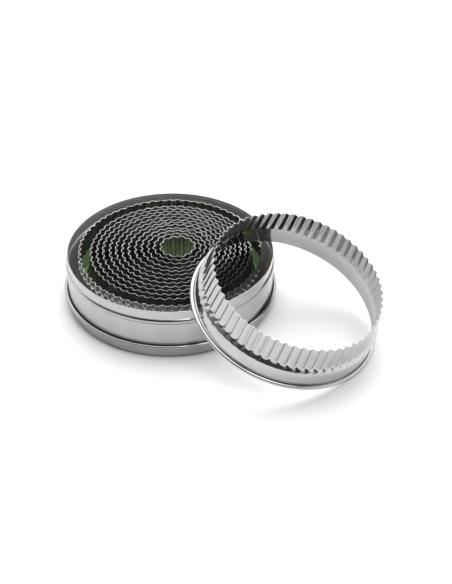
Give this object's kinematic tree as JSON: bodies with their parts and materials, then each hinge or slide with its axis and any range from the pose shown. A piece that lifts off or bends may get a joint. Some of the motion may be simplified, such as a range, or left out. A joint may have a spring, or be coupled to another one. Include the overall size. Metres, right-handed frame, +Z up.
{
  "type": "fluted round pastry cutter set in a tin",
  "caption": "Set of fluted round biscuit cutters nested in a round slip-lid tin that stands in its upturned lid, with one cutter taken out and leant on the tin's rim.",
  "frame": {"origin": "centre of the upturned lid's panel, on the table that the set stands on", "axes": "+Z up along the tin's axis, +X to the right of the picture, +Y away from its camera"},
  "size_m": [0.1837, 0.161, 0.0639],
  "materials": {
    "tinplate": "satin tinplate, light grey",
    "cutter_steel": "bright polished steel strip",
    "liner": "dark green sheet, slightly glossy"
  },
  "bodies": {
    "lid": {"lid": "tinplate"},
    "tin": {"tin": "tinplate", "floor_liner": "liner"},
    "cutter_01": {"cutter_01": "cutter_steel"},
    "cutter_02": {"cutter_02": "cutter_steel"},
    "cutter_03": {"cutter_03": "cutter_steel"},
    "cutter_04": {"cutter_04": "cutter_steel"},
    "cutter_05": {"cutter_05": "cutter_steel"},
    "cutter_06": {"cutter_06": "cutter_steel"},
    "cutter_07": {"cutter_07": "cutter_steel"},
    "cutter_08": {"cutter_08": "cutter_steel"},
    "cutter_09": {"cutter_09": "cutter_steel"},
    "cutter_10": {"cutter_10": "cutter_steel"},
    "cutter_11": {"cutter_11": "cutter_steel"},
    "cutter_12": {"cutter_12": "cutter_steel"},
    "cutter_13": {"cutter_13": "cutter_steel"},
    "cutter_14": {"cutter_14": "cutter_steel"}
  },
  "joints": [
    {"name": "tin_lift", "type": "slide", "parent": "lid", "child": "tin", "axis": [0, 0, 1], "range_m": [0, 0.02]},
    {"name": "cutter_01_lift", "type": "slide", "parent": "tin", "child": "cutter_01", "axis": [0, 0, 1], "range_m": [0, 0.034]},
    {"name": "cutter_02_lift", "type": "slide", "parent": "cutter_01", "child": "cutter_02", "axis": [0, 0, 1], "range_m": [0, 0.034]},
    {"name": "cutter_03_lift", "type": "slide", "parent": "cutter_02", "child": "cutter_03", "axis": [0, 0, 1], "range_m": [0, 0.034]},
    {"name": "cutter_04_lift", "type": "slide", "parent": "cutter_03", "child": "cutter_04", "axis": [0, 0, 1], "range_m": [0, 0.034]},
    {"name": "cutter_05_lift", "type": "slide", "parent": "cutter_04", "child": "cutter_05", "axis": [0, 0, 1], "range_m": [0, 0.034]},
    {"name": "cutter_06_lift", "type": "slide", "parent": "cutter_05", "child": "cutter_06", "axis": [0, 0, 1], "range_m": [0, 0.034]},
    {"name": "cutter_07_lift", "type": "slide", "parent": "cutter_06", "child": "cutter_07", "axis": [0, 0, 1], "range_m": [0, 0.034]},
    {"name": "cutter_08_lift", "type": "slide", "parent": "cutter_07", "child": "cutter_08", "axis": [0, 0, 1], "range_m": [0, 0.034]},
    {"name": "cutter_09_lift", "type": "slide", "parent": "cutter_08", "child": "cutter_09", "axis": [0, 0, 1], "range_m": [0, 0.034]},
    {"name": "cutter_10_lift", "type": "slide", "parent": "cutter_09", "child": "cutter_10", "axis": [0, 0, 1], "range_m": [0, 0.034]},
    {"name": "cutter_11_lift", "type": "slide", "parent": "cutter_10", "child": "cutter_11", "axis": [0, 0, 1], "range_m": [0, 0.034]},
    {"name": "cutter_12_lift", "type": "slide", "parent": "cutter_11", "child": "cutter_12", "axis": [0, 0, 1], "range_m": [0, 0.034]},
    {"name": "cutter_14_lift", "type": "slide", "parent": "cutter_12", "child": "cutter_14", "axis": [0, 0, 1], "range_m": [0, 0.034]},
    {"name": "cutter_13_lift", "type": "slide", "parent": "cutter_14", "child": "cutter_13", "axis": [0, 0, 1], "range_m": [0, 0.06]}
  ]
}
